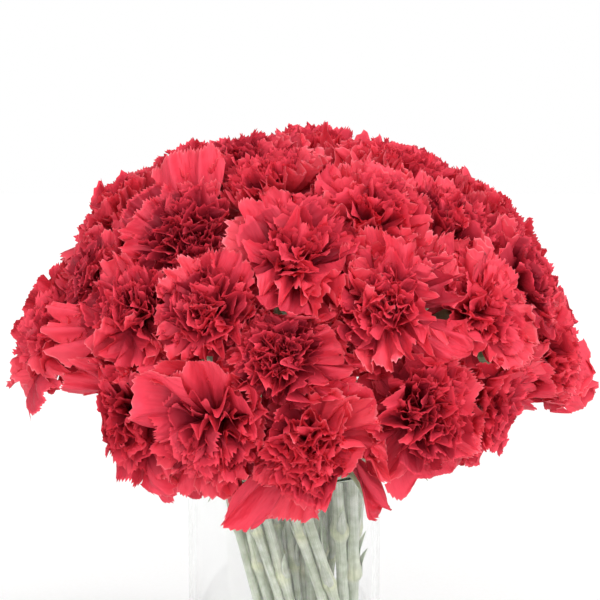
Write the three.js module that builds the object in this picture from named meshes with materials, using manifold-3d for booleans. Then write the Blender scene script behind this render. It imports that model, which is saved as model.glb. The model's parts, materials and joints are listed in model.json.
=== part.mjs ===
// Forty-two red carnations standing in a clear glass cylinder vase with water, in millimetres, +Z up.
// The origin is the middle of the vase's flat foot, and the bunch faces -Y.
import * as THREE from "three";
import { mergeVertices } from "three/addons/utils/BufferGeometryUtils.js";
import Module from "manifold-3d";

const wasm = await Module();
wasm.setup();

// The vase is a straight glass cylinder with a heavy base and a fire-polished rim.
const vase = { radius: 55, wall: 4, height: 200, base: 12, rimRound: 1.5, footRound: 3, sides: 32 };

// The water fills the lower part of the vase and opens round each stem.
const water = { level: 96, gap: 0.35, stemGap: 0.9, sides: 28 };

// The dome is the half-egg on which the mouths of the calyxes lie.
const dome = { centre: [9, 0, 264], halfWidth: 124, halfHeight: 87 };

// Each carnation: angle round the bunch from the front, angle up the dome, diameter of the bloom.
const flowers = [
  // the skirt, which hangs over the vase's rim
  [-68, 5, 64], [-38, -9, 64], [-17, -6, 66], [3, -13, 64], [24, -7, 66], [44, -8, 62], [70, 3, 64],
  [97, 9, 68], [124, 2, 68], [152, -4, 68], [180, -6, 68], [-152, -6, 68], [-123, 1, 68], [-96, 9, 68],
  // the shoulder
  [-60, 28, 62], [-39, 19, 60], [-20, 22, 56], [-4, 11, 50], [21, 24, 66], [43, 21, 60], [66, 26, 62],
  [112, 31, 68], [140, 25, 68], [167, 22, 68], [-167, 21, 68], [-141, 23, 68], [-108, 34, 68],
  // the upper rings
  [-2, 36, 68], [-34, 44, 62], [24, 51, 66], [51, 44, 60], [88, 42, 66], [118, 56, 68], [156, 49, 68],
  [-168, 49, 68], [-133, 49, 68], [-80, 45, 66],
  // the crown
  [-10, 62, 62], [-54, 73, 66], [-103, 65, 66], [72, 68, 66], [150, 80, 70],
];

// A bloom of 66 mm: each layer has its petals, rim points a petal, reach, rim height and root height.
const bloomSize = 66;
const layers = [
  { petals: 5, points: 5, reach: 38, height: 7, root: 0.3, tooth: 1.8, wave: 2.4 },
  { petals: 4, points: 4, reach: 33, height: 20, root: 5, tooth: 1.8, wave: 2.4 },
  { petals: 3, points: 3, reach: 23, height: 31, root: 11, tooth: 1.8, wave: 2 },
];
const tuft = { points: 8, reach: 10, height: 37, root: 18, tooth: 1.8, wave: 2, heart: 29 };
const petal = { rootRadius: 6.6, rootPoints: 5, thickness: 0.8, notch: 0.4, gap: 0.8 };
const droop = { below: 8, drop: 23, stretch: 0.2 };

// The calyx holds the petals' claws, and the stem has a swollen joint inside the vase.
const calyx = { length: 28, mouth: 4.8, belly: 7, neck: 3.4 };
const stem = { radius: 2.7, sides: 5, joint: 4, jointHeight: 8, jointLow: 134, jointStep: 14, floorGap: 0.3 };

// The stems run straight from a close bundle on the vase's floor to a looser one at its rim. Each ring of the
// bundle is turned its own way at the floor, so the stems cross behind one another.
const bundle = {
  rings: [{ clusters: 1, strands: 3 }, { clusters: 5, strands: 3 }, { clusters: 8, strands: 3 }],
  floor: { x: 19.5, spread: 12, strand: 1.6, turns: [0, -65, 80] },
  rim: { x: 6, spread: 18.8, strand: 4.8, turns: [0, 0, 0], z: 197 },
};

// Narrow leaves stand on some skirt stems: which flowers, and the blade's size.
const leaf = { flowers: [1, 2, 4, 6, 9, 11, 13], length: 42, width: 5, thickness: 1.2, side: 0, rise: 9, drop: 5 };

const up = new THREE.Vector3(0, 0, 1);

// A repeatable draw from 0 to 1.
function draw(a, b = 0, c = 0) {
  const x = Math.sin(a * 12.9898 + b * 78.233 + c * 37.719 + 1) * 43758.5453;
  return x - Math.floor(x);
}

// The direction that lies at an angle round the bunch, measured from the front towards +X.
function around(degrees) {
  const a = THREE.MathUtils.degToRad(degrees);
  return new THREE.Vector3(Math.sin(a), -Math.cos(a), 0);
}

// A ring of points is a list of { angle, at }. Rings are joined in order into one closed skin.
function skin(rings) {
  const positions = [];
  const faces = [];
  const starts = rings.map((ring) => {
    const start = positions.length / 3;
    ring.forEach((point) => positions.push(point.at.x, point.at.y, point.at.z));
    return start;
  });
  for (let k = 0; k + 1 < rings.length; k++) joinRings(rings[k], rings[k + 1], starts[k], starts[k + 1], faces);
  const geometry = new THREE.BufferGeometry();
  geometry.setAttribute("position", new THREE.Float32BufferAttribute(positions, 3));
  geometry.setIndex(faces);
  return geometry;
}

// Triangles between two rings go on by angle, and in the same way from either side of a blade.
function joinRings(a, b, startA, startB, faces) {
  const angleOf = (ring, k) => ring[k % ring.length].angle + 2 * Math.PI * Math.floor(k / ring.length);
  let i = 0;
  let j = 0;
  const endA = a.length > 1 ? a.length : 0;
  const endB = b.length > 1 ? b.length : 0;
  while (i < endA || j < endB) {
    const nextA = i < endA ? angleOf(a, i + 1) : Infinity;
    const nextB = j < endB ? angleOf(b, j + 1) : Infinity;
    const tied = Math.abs(nextA - nextB) < 1e-9;
    const stepA = tied ? a.length >= b.length : nextA < nextB;
    const atA = startA + (i % a.length);
    const atB = startB + (j % b.length);
    if (stepA) {
      faces.push(atA, startA + ((i + 1) % a.length), atB);
      i++;
    } else {
      faces.push(atA, startB + ((j + 1) % b.length), atB);
      j++;
    }
  }
}

// A closed geometry as a solid that can be joined and cut, and back.
function toSolid(geometry) {
  return new wasm.Manifold(
    new wasm.Mesh({
      numProp: 3,
      vertProperties: new Float32Array(geometry.getAttribute("position").array),
      triVerts: new Uint32Array(geometry.getIndex().array),
    }),
  );
}

// Slivers thinner than this are left out of a joined or cut solid.
const sliver = 0.05;

function toGeometry(solid) {
  const mesh = solid.simplify(sliver).getMesh();
  const geometry = new THREE.BufferGeometry();
  geometry.setAttribute("position", new THREE.BufferAttribute(mesh.vertProperties, 3));
  geometry.setIndex(new THREE.BufferAttribute(mesh.triVerts, 1));
  return geometry;
}

// Where each flower's calyx mouth lies, which way it faces, and the axes across the bloom.
function placeFlower([azimuth, height, diameter], number) {
  const h = THREE.MathUtils.degToRad(height);
  const out = around(azimuth);
  const mouth = new THREE.Vector3(...dome.centre)
    .addScaledVector(out, dome.halfWidth * Math.cos(h))
    .addScaledVector(up, dome.halfHeight * Math.sin(h));
  const axis = out
    .clone()
    .multiplyScalar(Math.cos(h) / dome.halfWidth)
    .addScaledVector(up, Math.sin(h) / dome.halfHeight)
    .normalize();
  const across = around(azimuth + 90);
  const along = axis.clone().cross(across);
  const heart = mouth.clone().addScaledVector(axis, 0.3 * diameter);
  return { number, azimuth, height, diameter, mouth, axis, across, along, heart, walls: [] };
}

// Each bloom keeps to its own side of the plane between it and each neighbour.
function raiseWalls(all) {
  for (const one of all)
    for (const other of all) {
      const apart = other.heart.clone().sub(one.heart);
      const distance = apart.length();
      if (one === other || distance > 0.85 * (one.diameter + other.diameter)) continue;
      const share = (distance * one.diameter) / (one.diameter + other.diameter);
      one.walls.push({ normal: apart.normalize(), reach: share - petal.gap / 2 });
    }
}

// A petal that meets a neighbour's plane turns up along it.
function settle(flower, point) {
  const soft = 0.86;
  const from = point.clone().sub(flower.heart);
  for (const wall of flower.walls) {
    const reach = from.dot(wall.normal) / wall.reach;
    if (reach < soft) continue;
    const eased = soft + (1 - soft) * Math.tanh((reach - soft) / (1 - soft));
    const pushed = (reach - eased) * wall.reach;
    from.addScaledVector(wall.normal, -pushed).addScaledVector(flower.axis, 0.35 * pushed);
  }
  for (const wall of flower.walls) {
    const reach = from.dot(wall.normal) / wall.reach;
    if (reach > 1) from.multiplyScalar(1 / reach);
  }
  return from.add(flower.heart);
}

// A point of a bloom from its angle, distance from the axis and height above the calyx.
function bloomPoint(flower, angle, radius, height) {
  const spoke = flower.across.clone().multiplyScalar(Math.cos(angle));
  spoke.addScaledVector(flower.along, Math.sin(angle));
  return settle(flower, flower.mouth.clone().addScaledVector(spoke, radius).addScaledVector(flower.axis, height));
}

// How far a petal in this direction hangs: only the skirt's petals that point down do.
function hang(flower, angle) {
  const down = -(flower.across.z * Math.cos(angle) + flower.along.z * Math.sin(angle));
  return flower.height < droop.below ? Math.max(0, down) : 0;
}

// The rim of one layer of petals: a lobe for each petal, with teeth, and a notch between petals.
function petalRim(flower, layer, order) {
  const scale = flower.diameter / bloomSize;
  const count = layer.petals * layer.points;
  const turn = draw(flower.number, order, 7);
  const under = [];
  const over = [];
  for (let k = 0; k < count; k++) {
    const inPetal = k % layer.points;
    const which = Math.floor(k / layer.points);
    const angle = (2 * Math.PI * (k + turn)) / count;
    const lobe = inPetal === 0 ? 1 - petal.notch : 1 + 0.07 * (draw(flower.number, which, order) - 0.5);
    const tooth = (inPetal % 2 ? 1 : -1) * layer.tooth * 0.5;
    const wave = layer.wave * (2 * draw(flower.number, k, order + 20) - 1);
    const low = order === 0 ? hang(flower, angle) : 0;
    const radius = scale * (layer.reach * lobe + tooth) * (1 + droop.stretch * low);
    const height = scale * (layer.height + wave + (inPetal === 0 ? 1 : 0)) - droop.drop * low;
    const slope = Math.atan2(layer.height - layer.root, layer.reach);
    under.push({ angle, at: bloomPoint(flower, angle, radius, height) });
    const topRadius = radius - petal.thickness * Math.sin(slope);
    const topHeight = height + petal.thickness * Math.cos(slope);
    over.push({ angle, at: bloomPoint(flower, angle, topRadius, topHeight) });
  }
  return { under, over };
}

// The ring where two layers of petals meet, close round the bloom's axis.
function rootRing(flower, height, radius) {
  const scale = flower.diameter / bloomSize;
  const ring = [];
  for (let k = 0; k < petal.rootPoints; k++) {
    const angle = (2 * Math.PI * (k + 0.5)) / petal.rootPoints;
    ring.push({ angle, at: bloomPoint(flower, angle, scale * radius, height > 1 ? scale * height : height) });
  }
  return ring;
}

// The inner petals stand up in one toothed tuft.
function tuftRing(flower) {
  const scale = flower.diameter / bloomSize;
  const ring = [];
  for (let k = 0; k < tuft.points; k++) {
    const angle = (2 * Math.PI * (k + 0.5)) / tuft.points;
    const radius = tuft.reach + (k % 2 ? 1 : -1) * tuft.tooth;
    const height = tuft.height + tuft.wave * (2 * draw(flower.number, k, 40) - 1);
    ring.push({ angle, at: bloomPoint(flower, angle, scale * radius, scale * height) });
  }
  return ring;
}

// A bloom is one skin that runs out and back along each layer of petals in turn.
function bloomGeometry(flower) {
  const scale = flower.diameter / bloomSize;
  const rings = [[{ angle: 0, at: bloomPoint(flower, 0, 0, layers[0].root) }]];
  layers.forEach((layer, order) => {
    const rim = petalRim(flower, layer, order);
    const radius = order === 0 ? petal.rootRadius * 0.8 : petal.rootRadius;
    rings.push(rootRing(flower, layer.root, radius), rim.under, rim.over);
  });
  rings.push(rootRing(flower, tuft.root, petal.rootRadius), tuftRing(flower));
  rings.push([{ angle: 0, at: bloomPoint(flower, 0, 0, scale * tuft.heart) }]);
  return skin(rings);
}

// The places of the stems in the bundle, as a cluster's middle and a strand's direction from it.
function bundlePlaces() {
  const places = [];
  bundle.rings.forEach((ring, r) => {
    for (let c = 0; c < ring.clusters; c++)
      for (let s = 0; s < ring.strands; s++) {
        const middle = around((360 * (c + 0.5 * r)) / ring.clusters).multiplyScalar(r);
        const strand = around((360 * s) / 3 + 90 * draw(r, c));
        places.push({ cluster: `${r}${c}`, ring: r, number: s, middle, strand });
      }
  });
  return places;
}

function placeAt(place, level) {
  const turned = (v) => v.clone().applyAxisAngle(up, THREE.MathUtils.degToRad(level.turns[place.ring]));
  return turned(place.middle)
    .multiplyScalar(level.spread)
    .addScaledVector(turned(place.strand), level.strand)
    .add(new THREE.Vector3(level.x, 0, 0));
}

// Low flowers take the outer places and high ones the inner, swapping while that shortens the stems' way.
function sharePlaces(all, places) {
  const wanted = all.map((flower) =>
    around(flower.azimuth)
      .multiplyScalar(40 * Math.pow(Math.max(0, 1 - (flower.height + 10) / 95), 0.8))
      .add(new THREE.Vector3(bundle.rim.x, 0, 0)),
  );
  const spots = places.map((place) => placeAt(place, bundle.rim));
  const given = all.map((_, i) => i);
  const cost = (i, j) => wanted[i].distanceToSquared(spots[given[j]]);
  for (let pass = 0, better = true; better && pass < 50; pass++) {
    better = false;
    for (let i = 0; i < all.length; i++)
      for (let j = 0; j < i; j++)
        if (cost(i, j) + cost(j, i) < cost(i, i) + cost(j, j) - 1e-6) {
          [given[i], given[j]] = [given[j], given[i]];
          better = true;
        }
  }
  return given.map((g) => places[g]);
}

// The stations of a stem from its cut end to the calyx's mouth, each with its radius.
function stemStations(flower) {
  const foot = placeAt(flower.place, bundle.floor).setZ(vase.base + stem.floorGap);
  const rim = placeAt(flower.place, bundle.rim).setZ(bundle.rim.z);
  const straight = rim.clone().sub(foot).normalize();
  foot.z += stem.radius * Math.hypot(straight.x, straight.y);
  const neck = flower.mouth.clone().addScaledVector(flower.axis, -calyx.length);
  const span = 0.4 * neck.distanceTo(rim);
  const bend = new THREE.CubicBezierCurve3(
    rim,
    rim.clone().addScaledVector(straight, span),
    neck.clone().addScaledVector(flower.axis, -span),
    neck,
  );
  const joint = stem.jointLow + stem.jointStep * (flower.place.number + 0.6 * draw(flower.number, 3));
  const onStraight = (z) => foot.clone().lerp(rim, (z - foot.z) / (rim.z - foot.z));
  const atMouth = (back) => flower.mouth.clone().addScaledVector(flower.axis, -back);
  return [
    { at: foot, way: straight, radius: stem.radius },
    { at: onStraight(joint - stem.jointHeight), way: straight, radius: stem.radius },
    { at: onStraight(joint), way: straight, radius: stem.joint },
    { at: rim, way: straight, radius: stem.radius },
    { at: bend.getPoint(0.35), way: bend.getTangent(0.35), radius: stem.radius },
    { at: bend.getPoint(0.7), way: bend.getTangent(0.7), radius: stem.radius },
    { at: neck, way: flower.axis, radius: calyx.neck },
    { at: atMouth(0.75 * calyx.length), way: flower.axis, radius: calyx.belly * 0.86 },
    { at: atMouth(0.2 * calyx.length), way: flower.axis, radius: calyx.belly },
    { at: atMouth(0), way: flower.axis, radius: calyx.mouth },
  ];
}

// A round tube through stations, closed at both ends.
function tubeThrough(stations, sides, extra = 0) {
  let side = new THREE.Vector3(1, 0, 0);
  const rings = stations.map(({ at, way, radius }) => {
    side = side.clone().addScaledVector(way, -side.dot(way)).normalize();
    const other = way.clone().cross(side);
    const ring = [];
    for (let k = 0; k < sides; k++) {
      const angle = (2 * Math.PI * k) / sides;
      const spoke = side.clone().multiplyScalar(Math.cos(angle)).addScaledVector(other, Math.sin(angle));
      ring.push({ angle, at: at.clone().addScaledVector(spoke, radius + extra) });
    }
    return ring;
  });
  const first = [{ angle: 0, at: stations[0].at }];
  const last = [{ angle: 0, at: stations.at(-1).at }];
  return skin([first, ...rings, last]);
}

// A narrow keeled leaf that springs from the stem below the calyx and arches out and down.
function leafGeometry(flower) {
  const root = stemStations(flower)[3].at;
  const out = around(flower.azimuth + leaf.side);
  const way = new THREE.QuadraticBezierCurve3(
    root,
    root.clone().addScaledVector(out, 0.5 * leaf.length).addScaledVector(up, 2 * leaf.rise),
    root.clone().addScaledVector(out, 0.9 * leaf.length).addScaledVector(up, -leaf.drop),
  );
  const across = around(flower.azimuth + leaf.side + 90);
  const steps = [0.0, 0.25, 0.55, 0.8];
  const rings = steps.map((t) => {
    const half = 0.5 * leaf.width * (t > 0 ? 1 - 0.75 * t * t : 0.6);
    const at = way.getPoint(t);
    const above = way.getTangent(t).cross(across).normalize();
    const corners = [
      at.clone().addScaledVector(across, half),
      at.clone().addScaledVector(across, -half),
      at.clone().addScaledVector(above, -leaf.thickness),
    ];
    return corners.map((corner, k) => ({ angle: (2 * Math.PI * k) / 3, at: corner }));
  });
  const rootTip = [{ angle: 0, at: way.getPoint(0) }];
  const tip = [{ angle: 0, at: way.getPoint(1) }];
  return skin([rootTip, ...rings, tip]);
}

// The glass turned about its axis, from the middle of the floor round to the middle of the foot.
function vaseGeometry() {
  const inner = vase.radius - vase.wall;
  const profile = [
    [0, 0],
    [vase.radius - vase.footRound, 0],
    [vase.radius, vase.footRound],
    [vase.radius, vase.height - vase.rimRound],
    [vase.radius - vase.rimRound, vase.height],
    [inner + vase.rimRound, vase.height],
    [inner, vase.height - vase.rimRound],
    [inner, vase.base + 3],
    [inner - 3, vase.base],
    [0, vase.base],
  ];
  return turned(profile, vase.sides);
}

// A profile turned about +Z, with its seam and its middle points joined.
function turned(profile, sides) {
  const points = profile.map(([radius, z]) => new THREE.Vector2(radius, z));
  const geometry = new THREE.LatheGeometry(points, sides).rotateX(Math.PI / 2);
  geometry.deleteAttribute("normal");
  geometry.deleteAttribute("uv");
  const joined = mergeVertices(geometry, 1e-4);
  const old = joined.getIndex().array;
  const faces = [];
  for (let k = 0; k < old.length; k += 3) {
    const [a, b, c] = [old[k], old[k + 1], old[k + 2]];
    if (a !== b && b !== c && c !== a) faces.push(a, b, c);
  }
  joined.setIndex(faces);
  return joined;
}

// The water stands clear of the glass, with a plain hole round each stem.
function waterGeometry(all) {
  const radius = vase.radius - vase.wall - water.gap;
  const foot = vase.base + water.gap;
  const profile = [[0, foot], [radius - 3.2, foot], [radius, foot + 3.2], [radius, water.level], [0, water.level]];
  let body = toSolid(turned(profile, water.sides));
  for (const flower of all) {
    const [foot3, above] = stemStations(flower);
    const way = above.way;
    const ends = [
      { ...foot3, at: foot3.at.clone().addScaledVector(way, -6) },
      { at: foot3.at.clone().addScaledVector(way, (water.level + 5 - foot3.at.z) / way.z), way, radius: stem.radius },
    ];
    body = body.subtract(toSolid(tubeThrough(ends, stem.sides, water.stemGap)));
  }
  return toGeometry(body);
}

const petals = new THREE.MeshStandardMaterial({ color: 0xc9162f, roughness: 0.62, metalness: 0 });
const greens = new THREE.MeshStandardMaterial({ color: 0x7f9a72, roughness: 0.6, metalness: 0 });
const glass = new THREE.MeshStandardMaterial({ color: 0xf1f6f4, roughness: 0.03, metalness: 0, transparent: true });
const liquid = new THREE.MeshStandardMaterial({ color: 0xeaf4f2, roughness: 0.02, metalness: 0, transparent: true });
glass.opacity = 0.3;
liquid.opacity = 0.25;

function addMesh(group, name, geometry, material) {
  const mesh = new THREE.Mesh(geometry, material);
  mesh.name = name;
  group.add(mesh);
}

const carnations = flowers.map(placeFlower);
raiseWalls(carnations);
const shared = sharePlaces(carnations, bundlePlaces());
carnations.forEach((flower, i) => (flower.place = shared[i]));

const vaseOfCarnations = new THREE.Group();
addMesh(vaseOfCarnations, "vase", vaseGeometry(), glass);
addMesh(vaseOfCarnations, "water", waterGeometry(carnations), liquid);

const blooms = new THREE.Group();
carnations.forEach((flower) => {
  const name = `bloom_${String(flower.number + 1).padStart(2, "0")}`;
  addMesh(blooms, name, bloomGeometry(flower), petals);
});
vaseOfCarnations.add(blooms);

// The stems of one cluster press together on the vase's floor, and are one node.
const stems = new THREE.Group();
const clusters = [...new Set(carnations.map((flower) => flower.place.cluster))].sort();
clusters.forEach((cluster, k) => {
  let bunch = null;
  for (const flower of carnations.filter((one) => one.place.cluster === cluster)) {
    let one = toSolid(tubeThrough(stemStations(flower), stem.sides));
    if (leaf.flowers.includes(flower.number)) one = one.add(toSolid(leafGeometry(flower)));
    bunch = bunch ? bunch.add(one) : one;
  }
  addMesh(stems, `stems_${String(k + 1).padStart(2, "0")}`, toGeometry(bunch), greens);
});
vaseOfCarnations.add(stems);

export default vaseOfCarnations;
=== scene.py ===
import json
import math
import bpy
import numpy as np
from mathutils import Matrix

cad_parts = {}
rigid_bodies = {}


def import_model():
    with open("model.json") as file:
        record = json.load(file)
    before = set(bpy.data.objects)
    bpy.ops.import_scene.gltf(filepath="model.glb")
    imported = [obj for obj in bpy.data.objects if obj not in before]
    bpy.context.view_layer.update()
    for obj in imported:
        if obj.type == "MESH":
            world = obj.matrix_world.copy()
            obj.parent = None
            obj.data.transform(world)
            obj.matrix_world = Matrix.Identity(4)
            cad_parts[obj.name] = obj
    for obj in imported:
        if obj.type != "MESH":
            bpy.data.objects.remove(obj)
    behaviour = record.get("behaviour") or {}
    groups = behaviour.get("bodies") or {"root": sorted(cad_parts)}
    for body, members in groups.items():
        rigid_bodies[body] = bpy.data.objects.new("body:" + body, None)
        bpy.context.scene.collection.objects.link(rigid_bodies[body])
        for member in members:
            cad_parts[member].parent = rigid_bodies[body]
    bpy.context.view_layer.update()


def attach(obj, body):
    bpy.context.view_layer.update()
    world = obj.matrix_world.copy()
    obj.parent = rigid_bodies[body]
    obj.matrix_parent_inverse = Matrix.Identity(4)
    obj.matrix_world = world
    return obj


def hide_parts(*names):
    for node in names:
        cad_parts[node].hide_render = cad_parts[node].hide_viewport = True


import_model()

mm = 0.001
up = np.array([0.0, 0.0, 1.0])
scene = bpy.context.scene
scene.view_settings.view_transform = "Standard"
scene.view_settings.look = "None"
scene.cycles.glossy_bounces = 12  # the vase's foot mirrors light within itself many times
scene.cycles.max_bounces = 16
scene.cycles.transmission_bounces = 16

# Carnations: angle round the bunch from the front, angle up the dome, bloom diameter in mm, and how
# full the bloom's heart is, from 0 for a few broad folded petals to 1 for many crumpled ones.
flowers = [
    (-68, 5, 64, 0.4), (-38, -9, 64, 0.3), (-17, -6, 66, 0.6), (3, -13, 64, 1.0), (24, -7, 66, 1.0),
    (44, -8, 62, 0.8), (70, 3, 64, 0.5), (97, 9, 68, 0.6), (124, 2, 68, 0.9), (152, -4, 68, 0.4),
    (180, -6, 68, 0.7), (-152, -6, 68, 1.0), (-123, 1, 68, 0.5), (-96, 9, 68, 0.8),
    (-60, 28, 62, 0.5), (-39, 19, 60, 0.7), (-20, 22, 56, 0.8), (-4, 11, 50, 1.0), (21, 24, 66, 0.7),
    (43, 21, 60, 0.6), (66, 26, 62, 0.9), (112, 31, 68, 0.5), (140, 25, 68, 0.8), (167, 22, 68, 0.6),
    (-167, 21, 68, 0.9), (-141, 23, 68, 0.5), (-108, 34, 68, 0.7),
    (-2, 36, 68, 0.3), (-34, 44, 62, 0.8), (24, 51, 66, 0.5), (51, 44, 60, 0.8), (88, 42, 66, 0.6),
    (118, 56, 68, 0.9), (156, 49, 68, 0.6), (-168, 49, 68, 0.8), (-133, 49, 68, 0.5), (-80, 45, 66, 0.7),
    (-10, 62, 62, 1.0), (-54, 73, 66, 0.6), (-103, 65, 66, 0.9), (72, 68, 66, 0.7), (150, 80, 70, 0.6),
]

# The dome on which the calyxes' mouths lie, in mm.
dome = {"centre": (9, 0, 264), "halfWidth": 124, "halfHeight": 87, "heartAt": 0.3}

# How far the petals reach: an outer dome round the same centre, whose last part they near but don't
# pass. The skirt is how low they hang, in mm above the table, at angles round the bunch. The waist
# draws the dome in at some angles below a height, the shoulder draws it in between two heights, and
# the sunk blooms lie deeper than the others.
outline = {
    "wide": 167, "tall": 134, "soft": 0.2, "uneven": 0.035, "lift": 18, "liftUneven": 5,
    "skirt": [(-180, 216), (-88, 224), (-78, 224), (-64, 226), (-57, 256), (-41, 266), (-37, 202), (-27, 200),
              (-22, 214), (-17, 198), (-6, 192), (4, 190), (6.5, 230), (13, 234), (15, 206), (19, 203), (23, 222),
              (46, 220), (51, 250), (57, 254), (63, 246), (72, 234), (80, 228), (90, 224), (180, 216)],
    "waist": [(-60, 1), (-52, 0.87), (-41, 0.88), (-36, 1), (36, 1), (41, 0.88), (52, 0.87), (60, 1)],
    "waistAt": (262, 284),
    "shoulder": [(272, 1), (295, 0.94), (330, 0.94), (352, 1)],
    "sunk": {14: 0.94, 26: 0.94, 13: 0.97},
}

vase = {
    "radius": 55, "wall": 4, "height": 200, "base": 12, "footRound": 3, "heelRound": 3, "rimRound": 1.5,
    "sides": 144, "arcSteps": 8, "wallRows": 9,
}
# The water is let into the glass by a hair, so that no air shows between them. Its edge climbs the wall.
water = {"level": 96, "meniscus": 1.6, "meniscusFall": 1.1, "into": 0.1, "rows": (40, 70), "sides": 96}


def rng(*keys):
    return np.random.default_rng([int(1000 + k) for k in keys])


def draw(a, b=0, c=0):  # the same repeatable draw as the bunch's layout uses
    x = math.sin(a * 12.9898 + b * 78.233 + c * 37.719 + 1) * 43758.5453
    return x - math.floor(x)


def around(degrees):  # the direction at an angle from the front towards +X
    a = math.radians(degrees)
    return np.array([math.sin(a), -math.cos(a), 0.0])


def unit(v):
    return v / np.linalg.norm(v)


def between(pair, share):
    return pair[0] + (pair[1] - pair[0]) * share


def linear(hexColour):
    values = [int(hexColour[i:i + 2], 16) / 255 for i in (1, 3, 5)]
    return [v / 12.92 if v <= 0.04045 else ((v + 0.055) / 1.055) ** 2.4 for v in values] + [1.0]


def addNode(tree, kind, settings=None, links=None):
    node = tree.nodes.new(kind)
    for name, value in (settings or {}).items():
        if isinstance(name, int) or name in node.inputs:
            node.inputs[name].default_value = value
        else:
            setattr(node, name, value)
    for name, socket in (links or {}).items():
        tree.links.new(socket, node.inputs[name])
    return node


def newMaterial(name):
    material = bpy.data.materials.new(name)
    material.use_nodes = True
    material.node_tree.nodes.clear()
    return material, material.node_tree


def ramp(tree, source, stops):
    node = addNode(tree, "ShaderNodeValToRGB", {}, {"Fac": source})
    elements = node.color_ramp.elements
    while len(elements) < len(stops):
        elements.new(0.5)
    for element, (at, colour) in zip(elements, stops):
        element.position = at
        element.color = linear(colour)
    return node.outputs["Color"]


# Carnation petal: thin living tissue with a satin skin. Light goes through it, so folds glow red where they are thin.
# Its tone attribute paints shade, nearly black at the roots and in full hearts, and a pale highlight along the
# margins.
petalFinish = {
    # the darkest colour is painted shade for petal roots and hearts; the palest is a painted highlight along the
    # margins
    "paintedShade": "#760b21", "body": "#e94157", "outer": "#f05060", "rim": "#fb7f8b", "through": "#ff4459",
    "vein": "#c9c9c9", "veinShade": 0.25, "throughShare": 0.13, "roughness": 0.55, "ior": 1.4,
    "veinSpacing": 0.8, "veinLength": 20, "veinDepth": 0.18,
    "creaseSpacing": 4.0, "creaseLength": 14.286, "creaseDepth": 4.0,  # coarser than real ones, so that they show
}


def petalMaterial():
    f = petalFinish
    material, tree = newMaterial("fresh carnation petal, satin red")
    tone = addNode(tree, "ShaderNodeAttribute", {"attribute_name": "tone"})
    # the tone ramp runs from painted shade at the roots through the petal's red to a painted highlight at the margin
    body = ramp(tree, tone.outputs["Fac"], [(0.0, f["paintedShade"]), (0.5, f["body"]), (0.9, f["outer"]), (1.0, f["rim"])])
    place = addNode(tree, "ShaderNodeUVMap", {"uv_map": "petal"})
    # veins fan out along the petal: the first coordinate is mm across it, the second mm along it
    stretch = addNode(tree, "ShaderNodeMapping", {"Scale": (1 / f["veinSpacing"], 1 / f["veinLength"], 1)},
                      {"Vector": place.outputs["UV"]})
    veins = addNode(tree, "ShaderNodeTexNoise", {"Scale": 1.0, "Detail": 3.0, "Roughness": 0.6},
                    {"Vector": stretch.outputs["Vector"]})
    shade = ramp(tree, veins.outputs["Fac"], [(0.3, f["vein"]), (0.7, "#ffffff")])
    veined = addNode(tree, "ShaderNodeMix", {"data_type": "RGBA", "blend_type": "MULTIPLY", 0: f["veinShade"]},
                     {6: body, 7: shade})
    wider = addNode(tree, "ShaderNodeMapping", {"Scale": (1 / f["creaseSpacing"], 1 / f["creaseLength"], 1)},
                    {"Vector": place.outputs["UV"]})
    creases = addNode(tree, "ShaderNodeTexNoise", {"Scale": 1.0, "Detail": 2.0}, {"Vector": wider.outputs["Vector"]})
    soft = addNode(tree, "ShaderNodeBump", {"Strength": 0.6, "Distance": f["creaseDepth"] * mm},
                   {"Height": creases.outputs["Fac"]})
    bump = addNode(tree, "ShaderNodeBump", {"Strength": 0.5, "Distance": f["veinDepth"] * mm},
                   {"Height": veins.outputs["Fac"], "Normal": soft.outputs["Normal"]})
    skin = addNode(tree, "ShaderNodeBsdfPrincipled",
                   {"Roughness": f["roughness"], "IOR": f["ior"], "Specular IOR Level": 0.3},
                   {"Base Color": veined.outputs[2], "Normal": bump.outputs["Normal"]})
    glow = addNode(tree, "ShaderNodeBsdfTranslucent", {"Color": linear(f["through"])},
                   {"Normal": bump.outputs["Normal"]})
    both = addNode(tree, "ShaderNodeMixShader", {"Fac": f["throughShare"]},
                   {1: skin.outputs["BSDF"], 2: glow.outputs["BSDF"]})
    addNode(tree, "ShaderNodeOutputMaterial", {}, {"Surface": both.outputs["Shader"]})
    return material


# Carnation stem and calyx: smooth green skin under a grey waxy bloom that makes it look pale.
stemFinish = {
    "calyx": "#93a873", "stem": "#e3e8da", "joint": "#eff1cc", "worn": "#c6cdbb",
    "roughness": 0.5, "ior": 1.45, "waxPatch": 6.0, "ridgeSpacing": 0.625, "ridgeLength": 25, "ridgeDepth": 0.15,
}


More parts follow.
